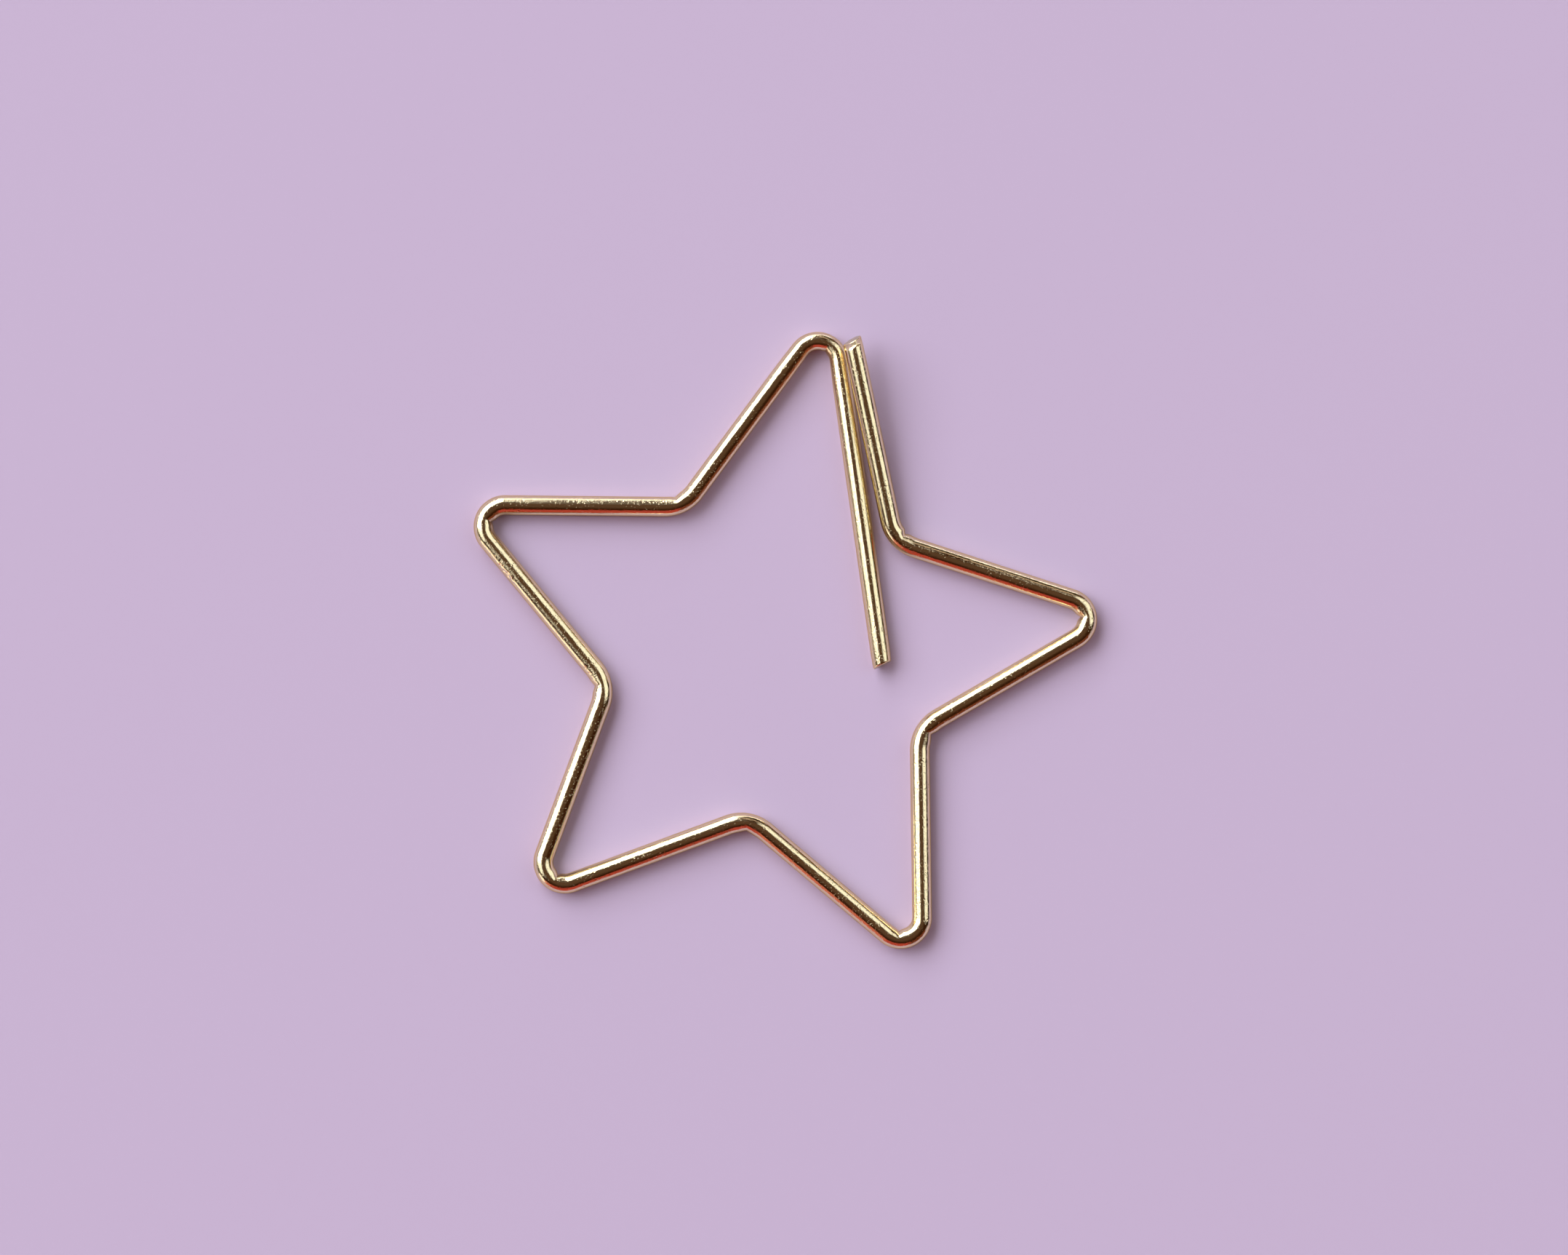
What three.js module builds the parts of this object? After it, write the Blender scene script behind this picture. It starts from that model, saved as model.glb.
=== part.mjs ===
// Star paper clip, in millimetres, lying flat with +Z up and its top point towards +Y.
// One round wire is bent into a five-pointed star and a straight leg inside it. The wire is split at
// the very top of its top bend, where it runs along X: the leg and the outline twist there against
// each other about the wire's own axis, so their end faces stay on each other at every opening.

import * as THREE from 'three';

// Wire
const wireDiameter = 1.0;
const wireFacets = 16;

// Regular star, measured from its middle to the sharp corners of the wire's centre line
const tipRadius = 17.7;
const notchRadius = 8.5;

// Bends, measured on the wire's centre line
const tipBendRadius = 1.1;
const notchBendRadius = 1.9;
const topBendRadius = 1.1;
const bendStepAngle = THREE.MathUtils.degToRad(13);

// How far each corner of the formed wire lies from the regular star: outwards in mm, and round the
// middle in degrees. The corners follow the wire from the top point, anticlockwise.
const cornerTrims = [
  { out: 0.35, turn: -0.5 },
  { out: 0.35, turn: 3.6 },
  { out: 0, turn: 1.3 },
  { out: -0.05, turn: 1.0 },
  { out: -0.25, turn: 0.1 },
  { out: -0.25, turn: 1.2 },
  { out: -0.25, turn: -0.5 },
  { out: -0.1, turn: 1.2 },
  { out: 0.1, turn: -1.7 },
  { out: 0.1, turn: -1.5 },
];

// Leg: its length from the top corner, and the clear gap at which it passes the corner of the last
// notch
const legLength = 18.4;
const legNotchGap = 0.5;

// Free end of the outline: where it lies round the middle of the top bend, how much of the bend it
// covers seen from above, and the clear gap at which it passes over the leg
const freeEndAngle = THREE.MathUtils.degToRad(41);
const freeEndCover = 0.05;
const freeEndClearance = 0.1;

// Slant of the sheared wire ends from a square cut
const shearSlant = THREE.MathUtils.degToRad(22);

const wireRadius = wireDiameter / 2;
const freeEndReach = topBendRadius + wireDiameter - freeEndCover;
const freeEndLift = wireDiameter + freeEndClearance;

const goldPlatedSteel = {
  color: 0xd8b25c,
  roughness: 0.18,
  metalness: 1,
};

// A curve that hands its own stations to the extrusion, so that they can lie close together in the
// bends and far apart on the straight sides.
class StationCurve extends THREE.Curve {
  constructor(stations) {
    super();
    this.stations = stations;
  }

  stationAt(u) {
    return this.stations[Math.round(u * (this.stations.length - 1))];
  }

  getPointAt(u, target = new THREE.Vector3()) {
    return target.copy(this.stationAt(u).point);
  }

  getTangentAt(u, target = new THREE.Vector3()) {
    return target.copy(this.stationAt(u).tangent);
  }
}

// A level direction at an angle from +X
function heading(angle) {
  return new THREE.Vector3(Math.cos(angle), Math.sin(angle), 0);
}

function headingAngle(from, to) {
  return Math.atan2(to.y - from.y, to.x - from.x);
}

// The signed turn from one heading to another, at most half a turn either way
function turnBetween(before, after) {
  return THREE.MathUtils.euclideanModulo(after - before + Math.PI, 2 * Math.PI) - Math.PI;
}

// Sharp corner number i of the outline: even corners are points, odd ones are notches
function starCorner(i) {
  const regularRadius = i % 2 === 0 ? tipRadius : notchRadius;
  const trim = cornerTrims[i];
  const angle = THREE.MathUtils.degToRad(90 + 36 * i + trim.turn);
  return heading(angle).multiplyScalar(regularRadius + trim.out);
}

// The round bend at a sharp corner: its middle, its radius and the headings before and after it
function bendAt(corner, before, after, radius) {
  const turn = turnBetween(before, after);
  const side = Math.sign(turn);
  const setback = radius * Math.tan(Math.abs(turn) / 2);
  const start = corner.clone().addScaledVector(heading(before), -setback);
  const middle = start.clone().addScaledVector(heading(before + side * Math.PI / 2), radius);
  return { middle, radius, before, turn, side };
}

// Stations along part of a bend, from one share of its turn to another
function bendStations(bend, fromShare = 0, toShare = 1) {
  const stations = [];
  const steps = Math.ceil(Math.abs(bend.turn) * (toShare - fromShare) / bendStepAngle);
  for (let step = 0; step <= steps; step += 1) {
    const share = fromShare + (toShare - fromShare) * step / steps;
    const angle = bend.before + bend.turn * share;
    const point = bend.middle.clone().addScaledVector(heading(angle - bend.side * Math.PI / 2), bend.radius);
    stations.push({ point, tangent: heading(angle) });
  }
  return stations;
}

// Round wire along stations, as a many-sided bar whose flats lie a wire's radius from its axis, with
// one pair of flats level
function wireGeometry(stations) {
  const section = new THREE.Shape();
  const cornerRadius = wireRadius / Math.cos(Math.PI / wireFacets);
  for (let i = 0; i < wireFacets; i += 1) {
    const angle = (i + 0.5) * 2 * Math.PI / wireFacets;
    const x = cornerRadius * Math.cos(angle);
    const y = cornerRadius * Math.sin(angle);
    if (i === 0) {
      section.moveTo(x, y);
    } else {
      section.lineTo(x, y);
    }
  }
  section.closePath();
  return new THREE.ExtrudeGeometry(section, {
    steps: stations.length - 1,
    extrudePath: new StationCurve(stations),
  });
}

// Slants the end face of a wire, as a shear leaves it: each corner of the last ring slides along the
// wire until it lies on the plane turned from square by the slant
function shearEnd(geometry, end, slant) {
  const normal = end.tangent.clone().applyAxisAngle(new THREE.Vector3(0, 0, 1), slant);
  const position = geometry.attributes.position;
  const corner = new THREE.Vector3();
  for (let i = 0; i < position.count; i += 1) {
    const offset = corner.fromBufferAttribute(position, i).sub(end.point);
    if (offset.length() < wireDiameter && Math.abs(offset.dot(end.tangent)) < wireDiameter / 100) {
      offset.addScaledVector(end.tangent, -offset.dot(normal) / end.tangent.dot(normal));
      position.setXYZ(i, ...offset.add(end.point));
    }
  }
  geometry.computeVertexNormals();
}

function wirePiece(name, stations) {
  const geometry = wireGeometry(stations);
  shearEnd(geometry, stations.at(-1), shearSlant);
  const mesh = new THREE.Mesh(geometry, new THREE.MeshStandardMaterial(goldPlatedSteel));
  mesh.name = name;
  return mesh;
}

// Top bend, followed from the leg to the left side of the top point
const corners = cornerTrims.map((trim, i) => starCorner(i));
const legPassAngle = Math.asin((wireDiameter + legNotchGap) / corners[0].distanceTo(corners.at(-1)));
const legHeading = headingAngle(corners[0], corners.at(-1)) - legPassAngle;
const firstSideHeading = headingAngle(corners[0], corners[1]);
const topBend = bendAt(corners[0], legHeading + Math.PI, firstSideHeading, topBendRadius);
const topShare = turnBetween(topBend.before, Math.PI) / topBend.turn;

// Inner leg: from the top of the bend back to where the bend starts, and straight down
function legStations() {
  const stations = bendStations(topBend, 0, topShare).reverse();
  for (const station of stations) {
    station.tangent.negate();
  }
  const tangent = heading(legHeading);
  stations.push({ point: corners[0].clone().addScaledVector(tangent, legLength), tangent });
  return stations;
}

// Star outline: from the top of the bend round the star to the free end beside the bend
function outlineStations() {
  const freeEnd = topBend.middle.clone().addScaledVector(heading(freeEndAngle), freeEndReach);
  const route = [...corners, freeEnd];
  const stations = bendStations(topBend, topShare, 1);
  let lastBend;
  for (let i = 1; i < corners.length; i += 1) {
    const before = headingAngle(route[i - 1], route[i]);
    const after = headingAngle(route[i], route[i + 1]);
    const radius = i % 2 === 0 ? tipBendRadius : notchBendRadius;
    lastBend = bendStations(bendAt(route[i], before, after, radius));
    stations.push(...lastBend);
  }
  const tangent = lastBend.at(-1).tangent.clone();
  const end = { point: freeEnd, tangent };
  stations.push(end);
  climb([...lastBend, end], lastBend.length - 1);
  return stations;
}

// Lifts the last side to clear the leg: its slope grows along the bend and then stays as it is
function climb(stations, bendSteps) {
  const distances = [0];
  for (let i = 1; i < stations.length; i += 1) {
    distances.push(distances[i - 1] + stations[i].point.distanceTo(stations[i - 1].point));
  }
  const bendLength = distances[bendSteps];
  const slope = freeEndLift / (distances.at(-1) - bendLength / 2);
  stations.forEach((station, i) => {
    const curved = Math.min(distances[i], bendLength);
    const straight = distances[i] - curved;
    station.point.z = slope * (curved ** 2 / (2 * bendLength) + straight);
    station.tangent.z = slope * curved / bendLength;
    station.tangent.normalize();
  });
}

const clip = new THREE.Group();
clip.add(wirePiece('star_outline', outlineStations()));
clip.add(wirePiece('inner_leg', legStations()));

// The origin is on the table under the middle of the clip
const box = new THREE.Box3().setFromObject(clip);
const middle = box.getCenter(new THREE.Vector3());
clip.position.set(-middle.x, -middle.y, -box.min.z);

export default clip;
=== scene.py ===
# Star paper clip: one gold-plated steel wire, bent flat into a star with a sprung leg inside it.
# Everything is in metres in the part's frame: +Z up from the table, +Y towards the top point.

import math

import bpy
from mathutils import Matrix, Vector


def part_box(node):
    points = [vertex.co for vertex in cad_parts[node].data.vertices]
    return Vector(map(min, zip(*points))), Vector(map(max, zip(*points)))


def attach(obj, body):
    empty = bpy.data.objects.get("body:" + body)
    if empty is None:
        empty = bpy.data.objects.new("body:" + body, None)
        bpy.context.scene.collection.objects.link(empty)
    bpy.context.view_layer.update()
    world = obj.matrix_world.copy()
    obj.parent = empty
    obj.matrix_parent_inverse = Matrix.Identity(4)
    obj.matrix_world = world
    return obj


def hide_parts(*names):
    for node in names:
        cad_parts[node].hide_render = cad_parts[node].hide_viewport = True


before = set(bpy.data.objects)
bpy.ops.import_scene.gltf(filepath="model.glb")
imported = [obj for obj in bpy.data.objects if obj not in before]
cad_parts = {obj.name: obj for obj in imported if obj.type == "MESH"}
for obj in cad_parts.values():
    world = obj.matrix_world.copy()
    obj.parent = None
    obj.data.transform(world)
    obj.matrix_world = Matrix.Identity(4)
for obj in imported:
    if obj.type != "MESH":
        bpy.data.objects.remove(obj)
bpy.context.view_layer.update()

MM = 0.001
UP = Vector((0, 0, 1))

# Wire
WIRE_DIAMETER = 1.0 * MM
WIRE_RADIUS = WIRE_DIAMETER / 2
SECTION_SIDES = 64

# Regular star, measured from its middle to the sharp corners of the wire's centre line
TIP_RADIUS = 17.7 * MM
NOTCH_RADIUS = 8.5 * MM

# Bends, measured on the wire's centre line
TIP_BEND_RADIUS = 1.1 * MM
NOTCH_BEND_RADIUS = 1.9 * MM
TOP_BEND_RADIUS = 1.1 * MM

# How far each corner of the formed wire lies from the regular star: outwards in mm, and round the
# middle in degrees. The corners follow the wire from the top point, anticlockwise.
CORNER_TRIMS = [
    (0.35, -0.5),
    (0.35, 3.6),
    (0.0, 1.3),
    (-0.05, 1.0),
    (-0.25, 0.1),
    (-0.25, 1.2),
    (-0.25, -0.5),
    (-0.1, 1.2),
    (0.1, -1.7),
    (0.1, -1.5),
]

# Leg: its length from the top corner, and the clear gap at which it passes the last notch's corner
LEG_LENGTH = 18.4 * MM
LEG_NOTCH_GAP = 0.5 * MM

# Free end of the outline: its place round the middle of the top bend, how much of the bend it covers
# seen from above, and the clear gap at which it passes over the leg
FREE_END_ANGLE = math.radians(41)
FREE_END_COVER = 0.05 * MM
FREE_END_CLEARANCE = 0.1 * MM
FREE_END_REACH = TOP_BEND_RADIUS + WIRE_DIAMETER - FREE_END_COVER
FREE_END_LIFT = WIRE_DIAMETER + FREE_END_CLEARANCE

# Sheared wire ends: the slant across the wire, how far the cut face leans back to face upwards, the
# length of wire that the shear disturbed, how much thinner it squeezed the end as a share of the
# radius, and how far the torn edge strays along the wire
SHEAR_SLANT = math.radians(17)
SHEAR_LEAN = math.radians(7)
SLANT_LENGTH = 1.2 * WIRE_DIAMETER
END_SQUEEZE = 0.07
TORN_EDGE = 0.025 * MM
TEARS_PER_MM = 9.0

# Rounded rim and flat face of a cut end, as shares of the wire's radius: how far in from the skin,
# and how far back from the cut. Sections this close together close the end without a pole.
CUT_RIM = [
    (0.0, 0.18), (0.008, 0.12), (0.03, 0.06), (0.075, 0.02), (0.13, 0.0),
    (0.3, 0.0), (0.5, 0.0), (0.7, 0.0), (0.86, 0.0), (0.97, 0.0),
]
RIM_INSET = 0.1

# Kinks that the bending pins pressed into the inside of the bends: the corner, how far past the
# bend's middle, how deep and how long to each side, then the height of the lip raised past it, in mm
KINKS = [
    (0, -0.35, 0.05, 0.35, 0.0),
    (1, 0.22, 0.11, 0.55, 0.0),
    (2, 0.08, 0.12, 0.42, 0.0),
    (3, -0.07, 0.15, 0.60, 0.0),
    (4, 0.30, 0.15, 0.45, 0.0),
    (5, -0.02, 0.11, 0.70, 0.0),
    (6, -0.61, 0.13, 0.40, 0.0),
    (7, 0.07, 0.15, 0.60, 0.0),
    (8, 0.11, 0.17, 0.45, 0.0),
    (9, -0.12, 0.14, 0.45, 0.035),
]

# The lip's place past the kink and its width, in mm, and how fast a kink fades round the wire
LIP_PLACE = 0.3
LIP_WIDTH = 0.13
KINK_FADE = 1.2

# Rough stretches where the forming tool rubbed: the corner, where they start and end past the bend's
# middle in mm, how far round from the top they lie (left is positive) in degrees, and their depth in mm
TOOL_MARKS = [
    (1, 1.1, 3.4, -14, 0.007),
    (2, 0.5, 2.1, -48, 0.014),
    (2, 2.1, 4.0, -42, 0.050),
    (3, -1.5, 0.6, -30, 0.022),
    (9, 0.3, 4.0, 58, 0.010),
    (9, -2.6, -0.6, 20, 0.014),
]

# Over how many mm a tool mark eases in and out, how far it spreads round the wire, and how close and
# how sharp its dents are
MARK_EASE = 0.25
MARK_WIDTH = math.radians(26)
DENTS_PER_MM = 5.0
DENT_SHARPNESS = 5.0

# The top bend is drawn thinner, by this share of its radius and over this length to each side
NECK_SHARE = 0.09
NECK_LENGTH = 3.2 * MM

# Spacing of the wire's sections: in bends, over tool marks and along plain sides
BEND_SPACING = 0.032 * MM
MARK_SPACING = 0.05 * MM
SIDE_SPACING = 0.4 * MM


# Path of the wire

def heading(angle):
    """A level direction at an angle from +X."""
    return Vector((math.cos(angle), math.sin(angle), 0))


def heading_angle(start, end):
    return math.atan2(end.y - start.y, end.x - start.x)


def turn_between(before, after):
    """The signed turn from one heading to another, at most half a turn either way."""
    return (after - before + math.pi) % (2 * math.pi) - math.pi


def star_corner(i):
    """Sharp corner number i of the outline: even corners are points, odd ones are notches."""
    out, turn = CORNER_TRIMS[i]
    regular_radius = TIP_RADIUS if i % 2 == 0 else NOTCH_RADIUS
    return heading(math.radians(90 + 36 * i + turn)) * (regular_radius + out * MM)


def bend_at(corner, before, after, radius):
    """The round bend at a sharp corner: its middle, its radius and the headings round it."""
    turn = turn_between(before, after)
    side = math.copysign(1, turn)
    start = corner - heading(before) * radius * math.tan(abs(turn) / 2)
    middle = start + heading(before + side * math.pi / 2) * radius
    return {"middle": middle, "radius": radius, "before": before, "turn": turn, "side": side}


def bend_stations(bend, corner, from_share=0.0, to_share=1.0):
    """Points and directions along part of a bend, each with its distance past the bend's middle."""
    stations = []
    length = bend["radius"] * abs(bend["turn"]) * (to_share - from_share)
    steps = math.ceil(length / BEND_SPACING)
    for step in range(steps + 1):
        share = from_share + (to_share - from_share) * step / steps
        angle = bend["before"] + bend["turn"] * share
        spoke = heading(angle - bend["side"] * math.pi / 2)
        stations.append({
            "point": bend["middle"] + spoke * bend["radius"],
            "tangent": heading(angle),
            "corner": corner,
            "past_bend": (share - 0.5) * abs(bend["turn"]) * bend["radius"],
            "side": bend["side"],
        })
    return stations


def mark_at(corner, past_bend):
    """The tool mark that covers a place, or None."""
    for mark in TOOL_MARKS:
        if mark[0] == corner and mark[1] * MM <= past_bend <= mark[2] * MM:
            return mark
    return None


def side_stations(start, end, way=1):
    """Stations between two others along a straight side; each belongs to the nearer bend."""
    length = (end["point"] - start["point"]).length
    stations = []
    gone = 0.0
    while True:
        near = start if gone < length / 2 else end
        past_bend = near["past_bend"] + way * (gone if near is start else gone - length)
        if gone > 0:
            share = gone / length
            stations.append({
                "point": start["point"].lerp(end["point"], share),
                "tangent": start["tangent"].lerp(end["tangent"], share).normalized(),
                "corner": near["corner"],
                "past_bend": past_bend,
                "side": near["side"],
            })
        marked = mark_at(near["corner"], past_bend + way * SIDE_SPACING / 2)
        gone += MARK_SPACING if marked else SIDE_SPACING
        if gone > length - MARK_SPACING:
            return stations


corners = [star_corner(i) for i in range(len(CORNER_TRIMS))]
leg_pass_angle = math.asin((WIRE_DIAMETER + LEG_NOTCH_GAP) / (corners[0] - corners[-1]).length)
leg_heading = heading_angle(corners[0], corners[-1]) - leg_pass_angle
top_bend = bend_at(
    corners[0], leg_heading + math.pi, heading_angle(corners[0], corners[1]), TOP_BEND_RADIUS
)
top_share = turn_between(top_bend["before"], math.pi) / top_bend["turn"]


def outline_stations():
    """From the top of the top bend round the star to the free end beside the bend."""
    free_end = top_bend["middle"] + heading(FREE_END_ANGLE) * FREE_END_REACH
    route = corners + [free_end]
    stations = bend_stations(top_bend, 0, top_share, 1)
    for i in range(1, len(corners)):
        before = heading_angle(route[i - 1], route[i])
        after = heading_angle(route[i], route[i + 1])
        radius = TIP_BEND_RADIUS if i % 2 == 0 else NOTCH_BEND_RADIUS
        bend = bend_stations(bend_at(route[i], before, after, radius), i)
        stations += side_stations(stations[-1], bend[0]) + bend
    last = stations[-1]
    gone = (free_end - last["point"]).length
    end = dict(last, point=free_end, past_bend=last["past_bend"] + gone)
    stations += side_stations(last, end) + [end]
    climb(stations[stations.index(bend[0]):], len(bend) - 1)
    return stations


def climb(stations, bend_steps):
    """Lifts the last side to clear the leg: its slope grows along the bend and then stays."""
    distances = [0.0]
    for a, b in zip(stations, stations[1:]):
        distances.append(distances[-1] + (b["point"] - a["point"]).length)
    bend_length = distances[bend_steps]
    slope = FREE_END_LIFT / (distances[-1] - bend_length / 2)
    for station, distance in zip(stations, distances):
        curved = min(distance, bend_length)
        rise = slope * (curved ** 2 / (2 * bend_length) + distance - curved)
        station["point"] = station["point"] + UP * rise
        station["tangent"] = (station["tangent"] + UP * slope * curved / bend_length).normalized()


def leg_stations():
    """From the top of the top bend back to where the bend starts, and straight down the leg."""
    stations = bend_stations(top_bend, 0, 0, top_share)[::-1]
    for station in stations:
        station["tangent"] = -station["tangent"]
        station["side"] = -station["side"]
    last = stations[-1]
    tip = corners[0] + heading(leg_heading) * LEG_LENGTH
    end = dict(last, point=tip, past_bend=last["past_bend"] - (tip - last["point"]).length)
    return stations + side_stations(last, end, way=-1) + [end]


# Marks that bending and cutting left in the wire

def kink_depth(station, stations):
    """How deep the inside of a bend is pressed in at a station: a sharp valley, then a raised lip."""
    depth = 0.0
    for corner, place, deepest, reach, lip in KINKS:
        if station["corner"] != corner:
            continue
        nearest = min(
            (other["past_bend"] for other in stations if other["corner"] == corner),
            key=lambda past: abs(past - place * MM),
        )
        if abs(nearest - place * MM) > reach * MM:
            continue
        away = (station["past_bend"] - nearest) / MM
        depth += deepest * max(0.0, 1 - abs(away) / reach) ** 2
        depth -= lip * math.exp(-((away - LIP_PLACE) / LIP_WIDTH) ** 2)
    return depth * MM


def neck_share(station):
    """How much thinner the wire is drawn at a station, as a share of its radius."""
    if station["corner"] != 0:
        return 0.0
    away = station["past_bend"] / NECK_LENGTH
    return NECK_SHARE * max(0.0, 1 - away ** 2) ** 2


def mark_strength(station):
    """The depth of the tool mark at a station, easing in and out, and how far round it lies."""
    mark = mark_at(station["corner"], station["past_bend"])
    if mark is None:
        return 0.0, 0.0
    corner, start, end, around, depth = mark
    place = station["past_bend"] / MM
    ease = min(place - start, end - place) / MARK_EASE
    return depth * MM * min(1.0, ease), math.radians(90 - around)


def end_sections(stations):
    """Ends the stations with the sections of a rounded rim and a cut face."""
    end = stations[-1]
    sections = [dict(station, inset=0.0) for station in stations[:-1]]
    for inset, back in CUT_RIM:
        point = end["point"] - end["tangent"] * back * WIRE_RADIUS
        sections.append(dict(end, point=point, inset=inset))
    return sections


def wire_path(name, stations, direction):
    """A chain of points for the wire sweep. Each carries what the sweep needs to know there."""
    sections = end_sections(stations)
    points = [section["point"] for section in sections]
    mesh = bpy.data.meshes.new(name)
    mesh.from_pydata(points, [(i, i + 1) for i in range(len(points) - 1)], [])
    along = [0.0]
    for a, b in zip(points, points[1:]):
        along.append(along[-1] + (b - a).length)
    marks = [mark_strength(section) for section in sections]
    values = {
        "along": [direction * distance for distance in along],
        "to_end": [along[-1] - distance for distance in along],
        "inset": [section["inset"] for section in sections],
        "inner_side": [section["side"] for section in sections],
        "kink": [kink_depth(section, stations) for section in sections],
        "neck": [neck_share(section) for section in sections],
        "mark_depth": [depth for depth, around in marks],
        "mark_around": [around for depth, around in marks],
    }
    for key, numbers in values.items():
        mesh.attributes.new(key, "FLOAT", "POINT").data.foreach_set("value", numbers)
    tangents = [number for section in sections for number in section["tangent"]]
    mesh.attributes.new("tangent", "FLOAT_VECTOR", "POINT").data.foreach_set("vector", tangents)
    path = bpy.data.objects.new(name, mesh)
    bpy.context.scene.collection.objects.link(path)
    return path


class NodeBuilder:
    """Places and joins nodes in a tree, with the short words that the trees below share."""

    def __init__(self, tree):
        self.tree = tree

    def node(self, kind, inputs=None, **settings):
        made = self.tree.nodes.new(kind)
        for key, value in settings.items():
            setattr(made, key, value)
        for key, value in (inputs or {}).items():
            self.feed(made.inputs[key], value)
        return made

    def feed(self, socket, value):
        if isinstance(value, bpy.types.NodeSocket):
            self.tree.links.new(value, socket)
        else:
            socket.default_value = value

    def math(self, operation, *values):
        made = self.tree.nodes.new("ShaderNodeMath")
        made.operation = operation
        for socket, value in zip(made.inputs, values):
            self.feed(socket, value)
        return made.outputs[0]

    def product(self, first, *others):
        for other in others:
            first = self.math("MULTIPLY", first, other)
        return first

    def total(self, first, *others):
        for other in others:
            first = self.math("ADD", first, other)
        return first

    def positive(self, value):
        return self.math("MAXIMUM", value, 0.0)

    def vector(self, operation, *values):
        made = self.tree.nodes.new("ShaderNodeVectorMath")
        made.operation = operation
        for socket, value in zip(made.inputs, values):
            self.feed(socket, value)
        return made.outputs["Vector"]

    def scaled(self, vector, amount):
        made = self.tree.nodes.new("ShaderNodeVectorMath")
        made.operation = "SCALE"
        self.feed(made.inputs[0], vector)
        self.feed(made.inputs["Scale"], amount)
        return made.outputs["Vector"]

    def combined(self, x, y, z):
        return self.node("ShaderNodeCombineXYZ", {"X": x, "Y": y, "Z": z}).outputs[0]

    def noise(self, place, scale, detail=2.0, roughness=0.5):
        """Noise between about -0.5 and 0.5."""
        made = self.node("ShaderNodeTexNoise", {
            "Vector": place, "Scale": scale, "Detail": detail, "Roughness": roughness,
        })
        return self.math("SUBTRACT", made.outputs["Fac"], 0.5)

    def named(self, name, kind="FLOAT"):
        made = self.tree.nodes.new("GeometryNodeInputNamedAttribute")
        made.data_type = kind
        made.inputs["Name"].default_value = name
        return made.outputs["Attribute"]

    def store(self, geometry, name, value, kind="FLOAT"):
        return self.node(
            "GeometryNodeStoreNamedAttribute",
            {"Geometry": geometry, "Name": name, "Value": value},
            data_type=kind, domain="POINT",
        ).outputs[0]


def add_socket(tree, name, kind, in_out="INPUT"):
    made = tree.interface.new_socket(name, in_out=in_out, socket_type="NodeSocket" + kind)
    return made.identifier


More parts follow.
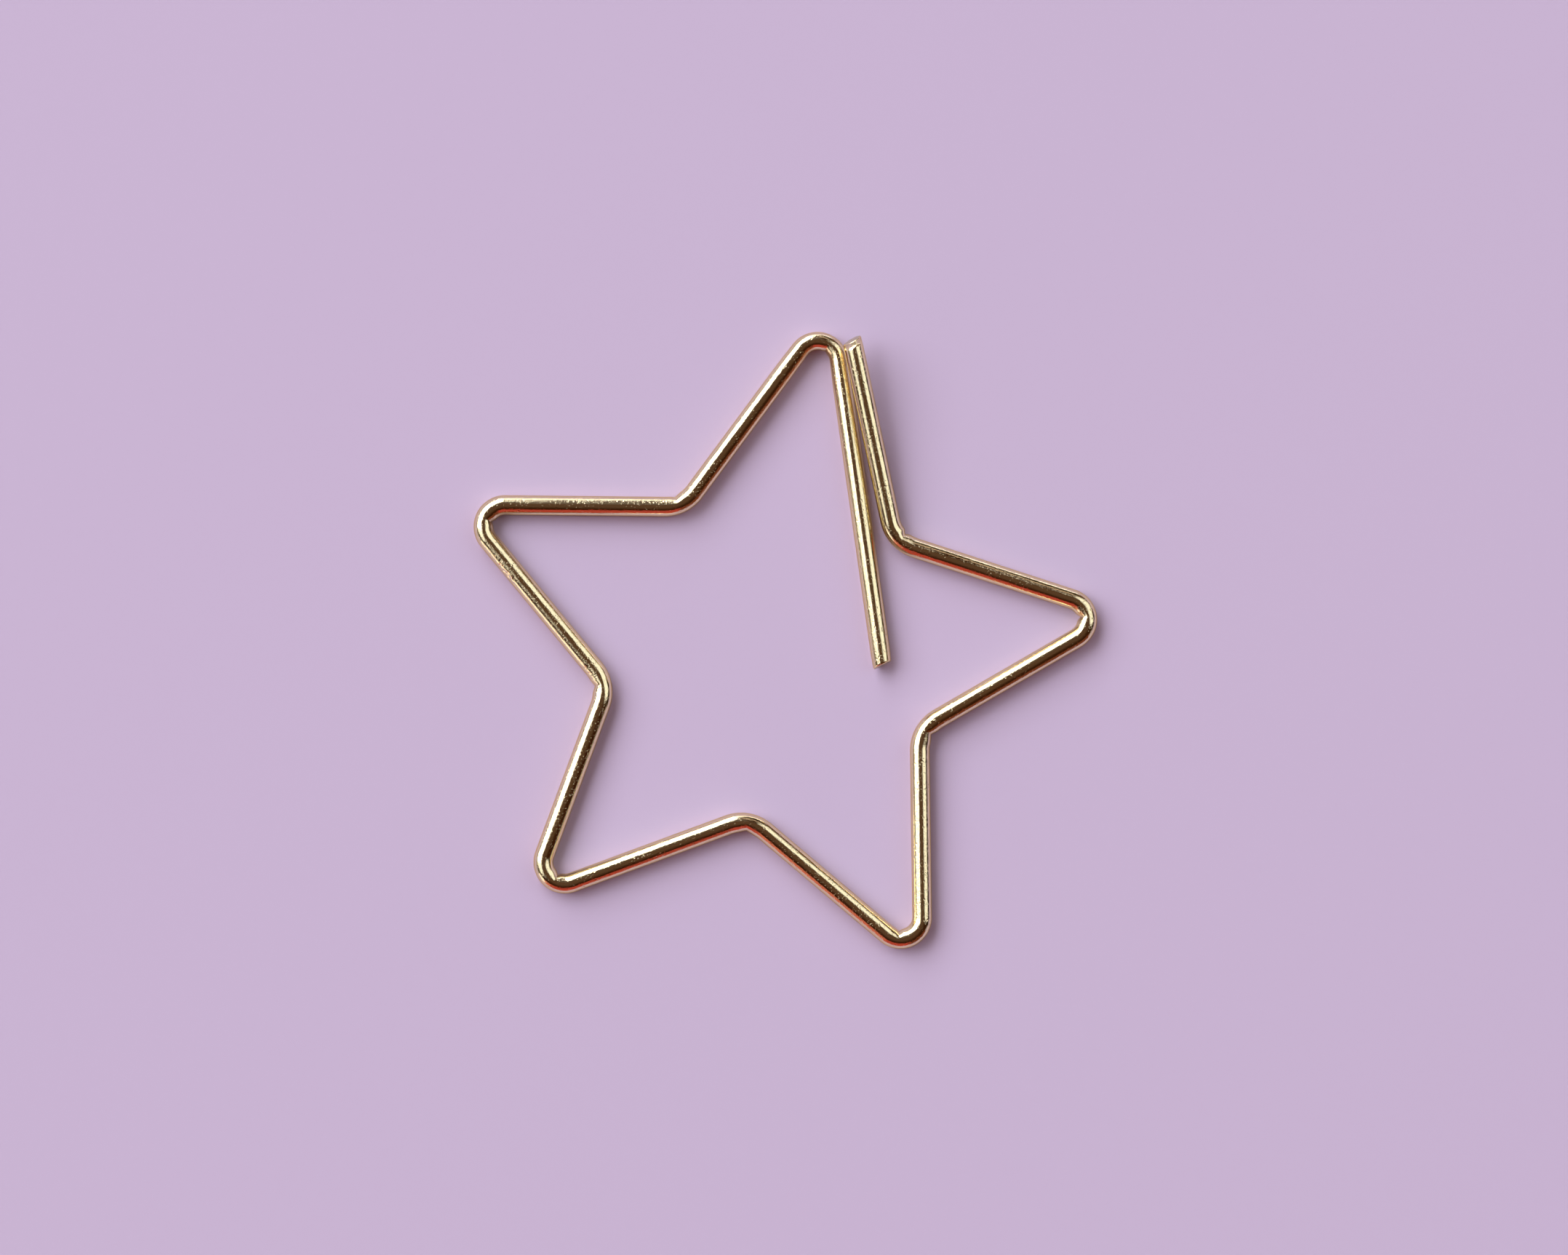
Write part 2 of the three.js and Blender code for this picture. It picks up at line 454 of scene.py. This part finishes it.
def wire_sweep_tree():
    """Sweeps the wire's round section along a path of stations, and gives it its bends' kinks, its
    tool marks and its sheared end."""
    tree = bpy.data.node_groups.new("Wire sweep", "GeometryNodeTree")
    ids = {
        name: add_socket(tree, name, kind)
        for name, kind in (
            ("Path", "Geometry"), ("Wire radius", "Float"), ("Section sides", "Int"),
            ("Shear slant", "Float"), ("Shear lean", "Float"), ("Slant length", "Float"),
            ("End squeeze", "Float"), ("Torn edge", "Float"), ("Tears per mm", "Float"),
            ("Mark width", "Float"), ("Dents per mm", "Float"),
            ("Wire finish", "Material"), ("Cut finish", "Material"),
        )
    }
    add_socket(tree, "Wire", "Geometry", "OUTPUT")
    b = NodeBuilder(tree)
    given = b.node("NodeGroupInput").outputs
    path = b.node("GeometryNodeMeshToCurve", {"Mesh": given["Path"]}).outputs["Curve"]
    position = b.node("GeometryNodeInputPosition").outputs[0]
    path = b.store(path, "axis_point", position, "FLOAT_VECTOR")
    circle = b.node(
        "GeometryNodeCurvePrimitiveCircle",
        {"Resolution": given["Section sides"], "Radius": given["Wire radius"]},
    ).outputs["Curve"]
    share_round = b.node("GeometryNodeSplineParameter").outputs["Factor"]
    circle = b.store(circle, "around", b.product(share_round, math.tau))
    wire = b.node(
        "GeometryNodeCurveToMesh", {"Curve": path, "Profile Curve": circle, "Fill Caps": True}
    ).outputs[0]

    # Round section, with its side direction level and to the left of the way the wire runs
    tangent = b.named("tangent", "FLOAT_VECTOR")
    left = b.vector("NORMALIZE", b.vector("CROSS_PRODUCT", UP, tangent))
    top = b.vector("CROSS_PRODUCT", tangent, left)
    around = b.named("around")
    leftward = b.math("COSINE", around)
    upward = b.math("SINE", around)

    # A point's place on the plain wire, in millimetres: across it, up it and along it
    radius = given["Wire radius"]
    kept = b.math("SUBTRACT", 1.0, b.named("inset"))
    radius_mm = b.product(radius, kept, 1 / MM)
    on_wire = b.combined(
        b.product(radius_mm, leftward), b.product(radius_mm, upward), b.product(b.named("along"), 1 / MM)
    )

    # The section's reach: thinner in the drawn neck and at the squeezed end, pressed in by kinks
    end_share = b.positive(
        b.math("SUBTRACT", 1.0, b.math("DIVIDE", b.named("to_end"), given["Slant length"]))
    )
    squeeze = b.product(b.math("POWER", end_share, 3.0), given["End squeeze"])
    thinned = b.math("SUBTRACT", b.math("SUBTRACT", 1.0, b.named("neck")), squeeze)
    facing_in = b.positive(b.product(leftward, b.named("inner_side")))
    kink = b.product(b.named("kink"), b.math("POWER", facing_in, KINK_FADE))
    away_from_mark = b.math("ABSOLUTE", b.math("SUBTRACT", around, b.named("mark_around")))
    mark_share = b.positive(
        b.math("SUBTRACT", 1.0, b.math("DIVIDE", away_from_mark, given["Mark width"]))
    )
    dents = b.noise(on_wire, given["Dents per mm"], detail=3.0, roughness=0.65)
    dents = b.math("MINIMUM", b.positive(b.product(dents, DENT_SHARPNESS)), 1.0)
    mark = b.product(b.named("mark_depth"), b.math("SQRT", mark_share), dents)
    pressed = b.product(b.total(kink, mark), kept)
    reach = b.math("SUBTRACT", b.product(radius, kept, thinned), pressed)
    offset = b.vector(
        "ADD", b.scaled(left, b.product(reach, leftward)), b.scaled(top, b.product(reach, upward))
    )

    # The cut slants across the wire and leans back: sections near the end slide along it
    slope = b.total(
        b.product(b.math("TANGENT", given["Shear slant"]), leftward),
        b.product(b.math("TANGENT", given["Shear lean"]), upward),
    )
    tear = b.product(b.noise(on_wire, given["Tears per mm"], detail=3.0), given["Torn edge"])
    slide = b.math("SUBTRACT", tear, b.product(slope, reach))
    slide = b.product(slide, b.math("POWER", end_share, 2.0))
    place = b.vector("ADD", b.named("axis_point", "FLOAT_VECTOR"), offset)
    place = b.vector("ADD", place, b.scaled(tangent, slide))

    wire = b.store(wire, "on_wire", on_wire, "FLOAT_VECTOR")
    wire = b.node("GeometryNodeSetPosition", {"Geometry": wire, "Position": place}).outputs[0]

    # Only the face that closes an end has more than four corners, and it stays flat
    face_corners = b.node("GeometryNodeInputMeshFaceNeighbors").outputs["Vertex Count"]
    wire = b.node(
        "GeometryNodeSetShadeSmooth",
        {"Geometry": wire, "Shade Smooth": b.math("LESS_THAN", face_corners, 4.5)},
        domain="FACE",
    ).outputs[0]
    wire = b.node("GeometryNodeRealizeInstances", {"Geometry": wire}).outputs[0]
    wire = b.node(
        "GeometryNodeSetMaterial", {"Geometry": wire, "Material": given["Wire finish"]}
    ).outputs[0]
    is_cut = b.math("GREATER_THAN", b.named("inset"), RIM_INSET)
    wire = b.node(
        "GeometryNodeSetMaterial",
        {"Geometry": wire, "Selection": is_cut, "Material": given["Cut finish"]},
    ).outputs[0]
    b.node("NodeGroupOutput", {"Wire": wire})
    return tree, ids


# Attributes that only the sweep needs; on_wire stays for the finishes
SWEEP_ATTRIBUTES = {
    "axis_point", "tangent", "around", "inset", "to_end", "inner_side", "along",
    "kink", "neck", "mark_depth", "mark_around",
}


def make_wire(name, path, tree, ids, body, node):
    """Runs the sweep on a path and keeps its result as a plain mesh that stands for a CAD node."""
    sweep = path.modifiers.new("Wire sweep", "NODES")
    sweep.node_group = tree
    settings = {
        "Wire radius": WIRE_RADIUS,
        "Section sides": SECTION_SIDES,
        "Shear slant": SHEAR_SLANT,
        "Shear lean": SHEAR_LEAN,
        "Slant length": SLANT_LENGTH,
        "End squeeze": END_SQUEEZE,
        "Torn edge": TORN_EDGE,
        "Tears per mm": TEARS_PER_MM,
        "Mark width": MARK_WIDTH,
        "Dents per mm": DENTS_PER_MM,
        "Wire finish": gold_wire,
        "Cut finish": cut_steel,
    }
    for key, value in settings.items():
        sweep[ids[key]] = value
    evaluated = path.evaluated_get(bpy.context.evaluated_depsgraph_get())
    mesh = bpy.data.meshes.new_from_object(evaluated)
    path.modifiers.remove(sweep)
    bpy.data.objects.remove(path)
    mesh.name = name
    for attribute in [a.name for a in mesh.attributes if a.name in SWEEP_ATTRIBUTES]:
        mesh.attributes.remove(mesh.attributes[attribute])
    piece = bpy.data.objects.new(name, mesh)
    bpy.context.scene.collection.objects.link(piece)
    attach(piece, body)
    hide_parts(node)


# Finishes. Their patterns sit on the wire, in millimetres, and their heights are in microns.

MICRON = 0.001 * MM

# Pits and drawing lines are stretched along the wire: their patterns see this share of its length
PIT_ALONG = 0.7
LINE_ALONG = 0.1

# How narrow a pit is within its cell
PIT_NARROWNESS = 2.6

# Gold plating: its colour, the duller colour of the pits, the tint of the wire's outermost edges, its
# roughness, and how much rougher the pits are
GOLD = (0.93, 0.80, 0.51, 1)
PITTED_GOLD = (0.80, 0.64, 0.36, 1)
GOLD_EDGE = (0.75, 0.60, 0.25, 1)
GOLD_ROUGHNESS = 0.075
PIT_ROUGHNESS = 0.12

# Wear of the plating: patches per mm, how sharply they differ, the wear halfway, and the most wear
WEAR_PER_MM = 0.35
WEAR_CONTRAST = 3.0
COMMON_WEAR = 0.9
MOST_WEAR = 1.8

# Bare steel: its colour, and that of the torn grains
STEEL = (0.60, 0.52, 0.37, 1)
TORN_STEEL = (0.36, 0.30, 0.22, 1)


def new_material(name):
    material = bpy.data.materials.new(name)
    material.use_nodes = True
    material.node_tree.nodes.clear()
    return material, NodeBuilder(material.node_tree)


def finish_material(b, shader):
    b.node("ShaderNodeOutputMaterial", {"Surface": shader.outputs[0]})


def pits_group():
    """Small pits scattered over a surface, a little longer along the wire: mask and height."""
    tree = bpy.data.node_groups.new("Pits", "ShaderNodeTree")
    add_socket(tree, "Place", "Vector")
    add_socket(tree, "Pits per mm", "Float")
    add_socket(tree, "Share pitted", "Float")
    add_socket(tree, "Depth", "Float")
    add_socket(tree, "Mask", "Float", "OUTPUT")
    add_socket(tree, "Height", "Float", "OUTPUT")
    b = NodeBuilder(tree)
    given = b.node("NodeGroupInput").outputs
    parts = b.node("ShaderNodeSeparateXYZ", {"Vector": given["Place"]}).outputs
    place = b.combined(parts[0], parts[1], b.product(parts[2], PIT_ALONG))
    cells = b.node("ShaderNodeTexVoronoi", {"Vector": place, "Scale": given["Pits per mm"]})
    chance = b.node("ShaderNodeSeparateColor", {"Color": cells.outputs["Color"]}).outputs[0]
    chosen = b.math("LESS_THAN", chance, given["Share pitted"])
    from_middle = b.product(cells.outputs["Distance"], PIT_NARROWNESS)
    bowl = b.positive(b.math("SUBTRACT", 1.0, from_middle))
    mask = b.product(chosen, bowl)
    b.node("NodeGroupOutput", {"Mask": mask, "Height": b.product(mask, given["Depth"], -1.0)})
    return tree


def drawing_lines_group():
    """Fine lines that run along a drawn wire, with slow waves and fine grains, as a height."""
    tree = bpy.data.node_groups.new("Drawing lines", "ShaderNodeTree")
    add_socket(tree, "Place", "Vector")
    add_socket(tree, "Lines per mm", "Float")
    add_socket(tree, "Line depth", "Float")
    add_socket(tree, "Waves per mm", "Float")
    add_socket(tree, "Wave depth", "Float")
    add_socket(tree, "Grains per mm", "Float")
    add_socket(tree, "Grain depth", "Float")
    add_socket(tree, "Height", "Float", "OUTPUT")
    b = NodeBuilder(tree)
    given = b.node("NodeGroupInput").outputs
    parts = b.node("ShaderNodeSeparateXYZ", {"Vector": given["Place"]}).outputs
    drawn = b.combined(parts[0], parts[1], b.product(parts[2], LINE_ALONG))
    lines = b.noise(drawn, given["Lines per mm"], detail=3.0, roughness=0.6)
    lines = b.product(lines, given["Line depth"])
    waves = b.product(b.noise(given["Place"], given["Waves per mm"]), given["Wave depth"])
    grains = b.noise(given["Place"], given["Grains per mm"], roughness=0.6)
    grains = b.product(grains, given["Grain depth"])
    b.node("NodeGroupOutput", {"Height": b.total(lines, waves, grains)})
    return tree


pits = pits_group()
drawing_lines = drawing_lines_group()


def placed_group(b, group, **values):
    """A shader node group in a material, with its named inputs set. Underscores stand for spaces."""
    made = b.node("ShaderNodeGroup", node_tree=group)
    for key, value in values.items():
        b.feed(made.inputs[key.replace("_", " ")], value)
    return made.outputs


def gold_wire_material():
    """Polished gold-coloured plating over drawn steel wire."""
    material, b = new_material("gold_wire")
    place = b.node("ShaderNodeAttribute", attribute_name="on_wire").outputs["Vector"]
    lines = placed_group(
        b, drawing_lines, Place=place, Lines_per_mm=9.0, Line_depth=4.0,
        Waves_per_mm=4.5, Wave_depth=5.0, Grains_per_mm=22.0, Grain_depth=4.0,
    )
    large = placed_group(b, pits, Place=place, Pits_per_mm=8.0, Share_pitted=0.12, Depth=9.0)
    small = placed_group(b, pits, Place=place, Pits_per_mm=15.0, Share_pitted=0.40, Depth=6.0)
    worn = b.total(b.product(b.noise(place, WEAR_PER_MM), WEAR_CONTRAST), COMMON_WEAR)
    worn = b.math("MINIMUM", b.positive(worn), MOST_WEAR)
    pitted = b.product(b.total(large["Height"], small["Height"]), worn)
    rough = b.product(lines["Height"], b.total(b.product(worn, 0.5), 0.5))
    bump = b.node("ShaderNodeBump", {"Height": b.total(rough, pitted), "Distance": MICRON})
    tone = b.math("MINIMUM", b.total(large["Mask"], b.product(small["Mask"], 0.5)), 1.0)
    colour = b.node("ShaderNodeMix", {"Factor": tone}, data_type="RGBA")
    b.feed(colour.inputs["A"], GOLD)
    b.feed(colour.inputs["B"], PITTED_GOLD)
    roughness = b.total(GOLD_ROUGHNESS, b.product(tone, PIT_ROUGHNESS))
    shader = b.node("ShaderNodeBsdfPrincipled", {
        "Base Color": colour.outputs["Result"],
        "Metallic": 1.0,
        "Specular Tint": GOLD_EDGE,
        "Roughness": roughness,
        "Normal": bump.outputs[0],
    })
    finish_material(b, shader)
    return material


def cut_steel_material():
    """Bare steel where the wire was sheared, with the grooves of the shear and torn grains."""
    material, b = new_material("cut_steel")
    place = b.node("ShaderNodeAttribute", attribute_name="on_wire").outputs["Vector"]
    parts = b.node("ShaderNodeSeparateXYZ", {"Vector": place}).outputs
    across = b.combined(parts[0], parts[2], parts[1])
    grooves = placed_group(
        b, drawing_lines, Place=across, Lines_per_mm=9.0, Line_depth=14.0,
        Waves_per_mm=4.0, Wave_depth=12.0, Grains_per_mm=18.0, Grain_depth=5.0,
    )
    grains = placed_group(b, pits, Place=place, Pits_per_mm=11.0, Share_pitted=0.5, Depth=6.0)
    height = b.total(grooves["Height"], grains["Height"])
    bump = b.node("ShaderNodeBump", {"Height": height, "Distance": MICRON})
    colour = b.node("ShaderNodeMix", {"Factor": grains["Mask"]}, data_type="RGBA")
    b.feed(colour.inputs["A"], STEEL)
    b.feed(colour.inputs["B"], TORN_STEEL)
    shader = b.node("ShaderNodeBsdfPrincipled", {
        "Base Color": colour.outputs["Result"],
        "Metallic": 1.0,
        "Roughness": 0.42,
        "Normal": bump.outputs[0],
    })
    finish_material(b, shader)
    return material


gold_wire = gold_wire_material()
cut_steel = cut_steel_material()

# The whole clip is shifted so that the frame's origin is on the table under the middle of its box
outline = outline_stations()
leg = leg_stations()
leg_low, leg_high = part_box("inner_leg")
split = outline[0]["point"]
shift = Vector((leg_low.x - split.x, leg_high.y - WIRE_RADIUS - split.y, WIRE_RADIUS))
for station in outline + leg:
    station["point"] = station["point"] + shift

sweep_tree, sweep_ids = wire_sweep_tree()
outline_path = wire_path("outline_path", outline, 1)
leg_path = wire_path("leg_path", leg, -1)
make_wire("star_outline_wire", outline_path, sweep_tree, sweep_ids, "outline", "star_outline")
make_wire("inner_leg_wire", leg_path, sweep_tree, sweep_ids, "leg", "inner_leg")


# Table, light and camera

def grid_object(name, points, columns, material):
    """A mesh of quads over rows of points, which isn't part of the clip."""
    mesh = bpy.data.meshes.new(name)
    rows = len(points) // columns
    faces = [
        (r * columns + c, r * columns + c + 1, (r + 1) * columns + c + 1, (r + 1) * columns + c)
        for r in range(rows - 1) for c in range(columns - 1)
    ]
    mesh.from_pydata(points, [], faces)
    mesh.materials.append(material)
    made = bpy.data.objects.new(name, mesh)
    bpy.context.scene.collection.objects.link(made)
    return made


TABLE_COLOUR = (0.60, 0.48, 0.67, 1)
TABLE_HALF = 15.0
table_material, table_nodes = new_material("lilac_table")
finish_material(table_nodes, table_nodes.node("ShaderNodeBsdfPrincipled", {
    "Base Color": TABLE_COLOUR, "Roughness": 0.9, "Specular IOR Level": 0.2,
}))
table_points = [(x * TABLE_HALF, y * TABLE_HALF, 0) for y in (-1, 1) for x in (-1, 1)]
grid_object("table", table_points, 2, table_material)

# The photograph's right is turned clockwise from the part's +X by this much
CAMERA_TURN = math.radians(9.27)
PANEL_DISTANCE = 4.0
PANEL_ROWS = 9

# Colours that several panels share
COOL_WHITE = (0.97, 1.0, 1.04)
WARM_SHADE = (1.0, 0.55, 0.35)


def light_panel(name, colour, brightness, edges):
    """A curved soft panel round the table. Its edges are given at several azimuths, anticlockwise
    from the photograph's right: the azimuth, then how far down from overhead it starts and ends."""
    material, b = new_material(name)
    finish_material(b, b.node("ShaderNodeEmission", {"Color": (*colour, 1), "Strength": brightness}))
    points = []
    for r in range(PANEL_ROWS):
        for azimuth, upper, lower in edges:
            polar = math.radians(upper + (lower - upper) * r / (PANEL_ROWS - 1))
            flat = heading(math.radians(azimuth) + CAMERA_TURN) * math.sin(polar)
            points.append((flat + UP * math.cos(polar)) * PANEL_DISTANCE)
    panel = grid_object(name, points, len(edges), material)
    panel.visible_camera = False
    panel.visible_shadow = False


light_panel("key_panel", COOL_WHITE, 4.75, [
    (98, 58, 81), (106, 36, 78), (113, 35, 75), (122, 36, 71), (134, 33, 73), (146, 32, 74),
    (158, 32, 73), (168, 29, 71), (176, 21, 69), (180, 20, 68),
])
light_panel("key_upper_edge", (1.0, 0.80, 0.70), 0.14, [
    (82, 22, 42), (89, 19, 52), (98, 18, 56), (106, 18, 36), (113, 18, 35), (122, 19, 36),
    (134, 18, 33), (146, 20, 32),
])
light_panel("key_right_edge", (1.0, 0.98, 1.0), 1.4, [
    (82, 80, 89.5), (89, 73, 89.5), (98, 58, 89),
])
light_panel("key_left_edge", (1.0, 1.0, 1.0), 1.25, [
    (180, 20, 71), (184, 19, 69), (192, 19, 61), (200, 22, 56), (208, 25, 53), (212, 31, 47),
])
light_panel("left_glow", (1.0, 0.86, 0.72), 0.04, [
    (213, 28, 44), (224, 30, 40),
])
light_panel("far_panel", COOL_WHITE, 2.8, [
    (62, 85, 89.5), (72, 84, 89.5), (80, 83, 89.5),
])
light_panel("far_dark", WARM_SHADE, 0.03, [
    (62, 60, 85), (72, 60, 84), (80, 62, 82),
])
light_panel("fill_panel", (1.0, 1.0, 1.0), 1.15, [
    (-12, 36, 60), (-4, 29, 68), (4, 27, 70), (14, 26, 67), (24, 27, 72), (36, 27, 76),
    (44, 27, 70), (52, 27, 58), (60, 30, 52),
])
light_panel("fill_shade", WARM_SHADE, 0.13, [
    (14, 69, 89.8), (24, 73, 89.8), (36, 77, 89.8), (44, 71, 89.8), (60, 66, 89.8),
])
light_panel("fill_dark", WARM_SHADE, 0.03, [
    (-20, 62, 89.95), (-12, 62, 89.95), (-4, 69, 89.95), (4, 71, 89.95), (14, 69, 89.95),
])
light_panel("low_panel", (1.0, 0.88, 0.82), 1.4, [
    (206, 68, 89.5), (212, 65, 89.5), (218, 65, 89.5), (224, 68, 89.5),
])
light_panel("orange_card", (1.0, 0.27, 0.2), 0.6, [
    (224, 60, 89.5), (231, 57, 89.5), (238, 55, 89.5),
])
light_panel("side_panel", (1.0, 0.78, 0.64), 0.65, [
    (62, 50, 59), (70, 50, 59), (78, 48, 61), (86, 43, 66),
])
light_panel("warm_card", (1.0, 0.14, 0.11), 0.44, [
    (238, 54, 89.5), (250, 52, 89.5), (262, 53, 89.5), (275, 53, 89.5), (290, 54, 89.5),
])
light_panel("dim_card", (1.0, 0.27, 0.16), 0.17, [
    (291, 58, 89.5), (303, 60, 89.5), (316, 60, 89.5), (329, 62, 89.5),
])

# Sky colours by height, from 0 at the horizon to 1 overhead
SKY = [
    (0.10, (0.50, 0.44, 0.45)),
    (0.30, (0.035, 0.011, 0.004)),
    (0.80, (0.036, 0.012, 0.004)),
    (0.98, (0.098, 0.054, 0.036)),
]
world = bpy.data.worlds.new("studio")
bpy.context.scene.world = world
world.use_nodes = True
world.node_tree.nodes.clear()
sky_nodes = NodeBuilder(world.node_tree)
direction = sky_nodes.node("ShaderNodeTexCoord").outputs["Generated"]
upward = sky_nodes.node("ShaderNodeSeparateXYZ", {"Vector": direction}).outputs[2]
ramp = sky_nodes.node("ShaderNodeValToRGB", {"Fac": upward})
stops = ramp.color_ramp.elements
while len(stops) < len(SKY):
    stops.new(1.0)
for stop, (height, colour) in zip(stops, SKY):
    stop.position = height
    stop.color = (*colour, 1)
sky = sky_nodes.node("ShaderNodeBackground", {"Color": ramp.outputs["Color"], "Strength": 1.0})
sky_nodes.node("ShaderNodeOutputWorld", {"Surface": sky.outputs[0]})

# Camera straight above the clip, turned as in the photograph. The clip lies a little off its middle.
PHOTO_PIXELS = 2156
PIXELS_PER_MM = 27.0
PHOTO_WIDTH = PHOTO_PIXELS / PIXELS_PER_MM * MM
CAMERA_X = 0.378 * MM
CAMERA_Y = -0.053 * MM
camera_data = bpy.data.cameras.new("camera")
camera_data.sensor_width = 36
camera_data.lens = 100
camera_data.clip_start = 0.005
camera_data.clip_end = 50
camera = bpy.data.objects.new("camera", camera_data)
bpy.context.scene.collection.objects.link(camera)
camera_height = PHOTO_WIDTH * camera_data.lens / camera_data.sensor_width
camera.location = (CAMERA_X, CAMERA_Y, WIRE_RADIUS + camera_height)
camera.rotation_euler = (0, 0, CAMERA_TURN)
bpy.context.scene.camera = camera

bpy.context.scene.view_settings.view_transform = "Standard"
